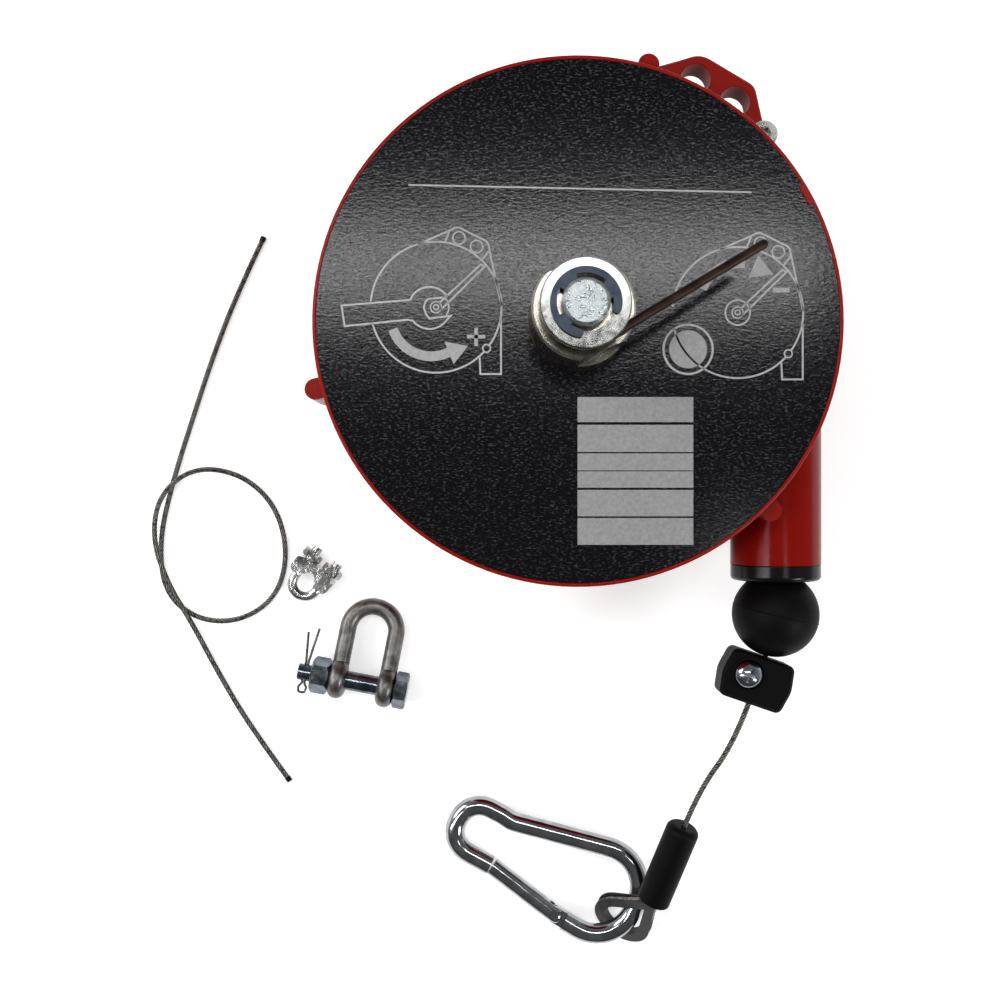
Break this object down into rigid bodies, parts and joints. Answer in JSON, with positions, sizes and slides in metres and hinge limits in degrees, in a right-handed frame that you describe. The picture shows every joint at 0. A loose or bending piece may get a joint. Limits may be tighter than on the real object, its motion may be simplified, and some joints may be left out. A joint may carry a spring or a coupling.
{
  "type": "spring tool balancer",
  "caption": "Spring tool balancer in a round red casing with a suspension lug, a thin load cable with stop ball, clamp and snap hook, and a loose safety cable, clip and shackle.",
  "frame": {"origin": "drum axis on the plane of the back's boss and foot ring, on which the balancer lies", "axes": "+Z out of the front cover along the drum axis, +Y towards the suspension lug, the load cable leaves along -Y at positive X"},
  "size_m": [0.2448, 0.3209, 0.112],
  "materials": {
    "red_paint": "gloss",
    "black_wrinkle": "fine wrinkle",
    "zinc": "bright zinc",
    "hub_zinc": "yellowish zinc",
    "turned_steel": "turned",
    "dark_steel": "blackened",
    "bronze": "satin",
    "drum_alloy": "as cast",
    "cable_steel": "stranded",
    "gloss_black": "gloss",
    "black_plastic": "matte",
    "black_rubber": "matte",
    "thimble_grey": "dull grey",
    "dark_chrome": "polished",
    "galvanised": "galvanised"
  },
  "bodies": {
    "housing": {"housing": "red_paint", "front_cover": "red_paint", "label_plate": "black_wrinkle", "cover_screws": "zinc", "side_screw": "zinc", "hub_bush": "bronze", "axle": "turned_steel", "axle_pin": "dark_steel", "thrust_washer": "zinc", "retaining_ring": "dark_steel", "nose_bush": "gloss_black", "shackle_bow": "galvanised", "shackle_bolt": "zinc", "shackle_nut": "zinc", "split_pin": "zinc", "clip_u_bolt": "zinc", "clip_saddle": "zinc", "clip_nuts": "zinc", "safety_cable": "cable_steel"},
    "drum": {"drum": "drum_alloy", "drum_bush": "bronze", "drum_lid": "turned_steel", "lid_ring": "dark_steel", "lid_bush": "bronze", "power_spring": "dark_steel", "wound_cable": "cable_steel"},
    "load_end": {"lead_cable": "cable_steel", "stop_ball": "black_rubber", "clamp_front": "black_plastic", "clamp_back": "black_plastic", "clamp_screw": "zinc", "clamp_nut": "zinc", "load_cable": "cable_steel", "end_sleeve": "black_rubber", "sleeve_wire": "cable_steel", "ferrule": "turned_steel", "thimble": "thimble_grey", "eye_cable": "cable_steel"},
    "tension_hub": {"tension_hub": "hub_zinc"},
    "release_lever": {"release_lever": "dark_steel"},
    "snap_hook": {"snap_hook": "dark_chrome"},
    "hook_gate": {"hook_gate": "dark_chrome", "gate_pin": "dark_chrome"}
  },
  "joints": [
    {"name": "drum_spin", "type": "hinge", "parent": "housing", "child": "drum", "pos_m": [0, 0, 0], "axis": [0, 0, -1], "range_deg": [0, 2006], "stiffness_Nm_per_rad": 0.02, "springref_deg": -1145.92},
    {"name": "cable_out", "type": "slide", "parent": "housing", "child": "load_end", "axis": [0, -1, 0], "range_m": [0, 2.5]},
    {"name": "hub_turn", "type": "hinge", "parent": "housing", "child": "tension_hub", "pos_m": [0, 0, 0.09], "axis": [0, 0, 1], "range_deg": [0, 1800]},
    {"name": "lever_release", "type": "hinge", "parent": "housing", "child": "release_lever", "pos_m": [0, 0, 0.103], "axis": [0, 0, 1], "range_deg": [-20, 0], "stiffness_Nm_per_rad": 0.05},
    {"name": "hook_swing", "type": "hinge", "parent": "load_end", "child": "snap_hook", "pos_m": [0.02242, -0.21562, 0.0094], "axis": [-0.0872, 0.9962, 0], "range_deg": [0, 90]},
    {"name": "gate_open", "type": "hinge", "parent": "snap_hook", "child": "hook_gate", "pos_m": [-0.00416, -0.21419, 0.00754], "axis": [0.068, -0.0354, -0.9971], "range_deg": [0, 22], "stiffness_Nm_per_rad": 0.02, "springref_deg": -28.65}
  ],
  "couplings": [
    {"joint": "cable_out", "follows": "drum_spin", "m_per_rad": 0.0714}
  ]
}
